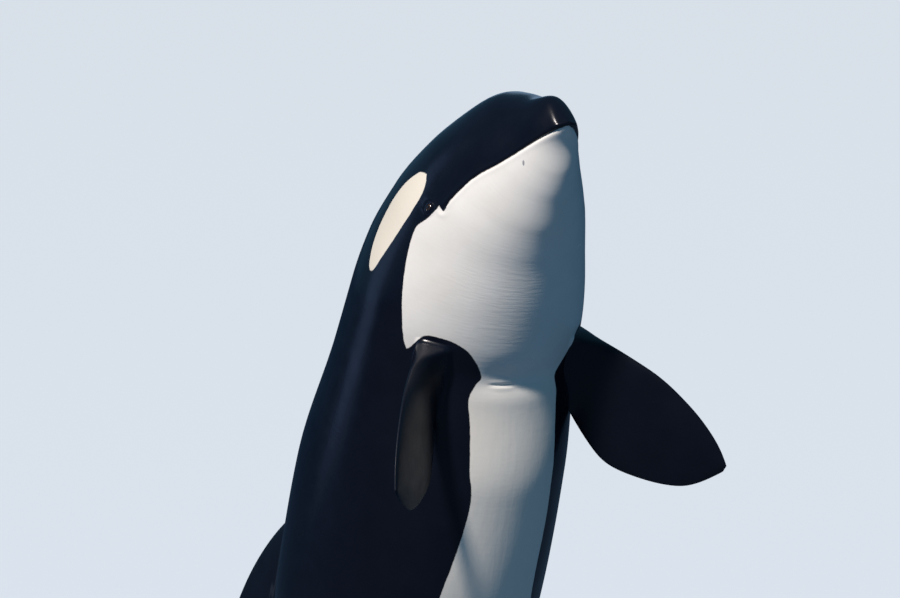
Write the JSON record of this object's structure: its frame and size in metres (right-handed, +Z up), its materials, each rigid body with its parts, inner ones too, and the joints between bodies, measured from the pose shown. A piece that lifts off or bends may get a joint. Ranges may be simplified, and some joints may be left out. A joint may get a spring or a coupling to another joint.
{
  "type": "life-size orca display model",
  "caption": "Life-size orca upright as if spy-hopping, one flipper held out, black and white with a grey saddle, on a flat base with rods at the tail.",
  "frame": {"origin": "the middle of the base's underside, on the floor", "axes": "+Z up, the belly faces -Y, the animal's left side is +X, in metres"},
  "size_m": [2.4, 2.9306, 5.7507],
  "materials": {
    "skin_black": "wet, glossy blue-black skin with a faint fine grain and a few pale scratches",
    "skin_white": "wet, satin cream-white skin with fine cross wrinkles",
    "skin_grey": "wet, satin grey skin with a soft mottle",
    "eye": "dark brown, wet and glossy",
    "stand_paint": "plain charcoal paint with a fine satin texture",
    "stand_steel": "brushed steel tube"
  },
  "bodies": {
    "root": {"head": "skin_black", "lower_jaw": "skin_white", "throat": "skin_white", "belly": "skin_white", "torso": "skin_black", "saddle_patch": "skin_grey", "tail_stock": "skin_black", "dorsal_fin": "skin_black", "flipper_left": "skin_black", "flipper_right": "skin_black", "fluke_left": "skin_black", "fluke_right": "skin_black", "eye_patch_left": "skin_white", "eye_patch_right": "skin_white", "eye_left": "eye", "eye_right": "eye", "stand_base": "stand_paint", "stand_rod_back": "stand_steel", "stand_rod_tail": "stand_steel"}
  },
  "joints": []
}
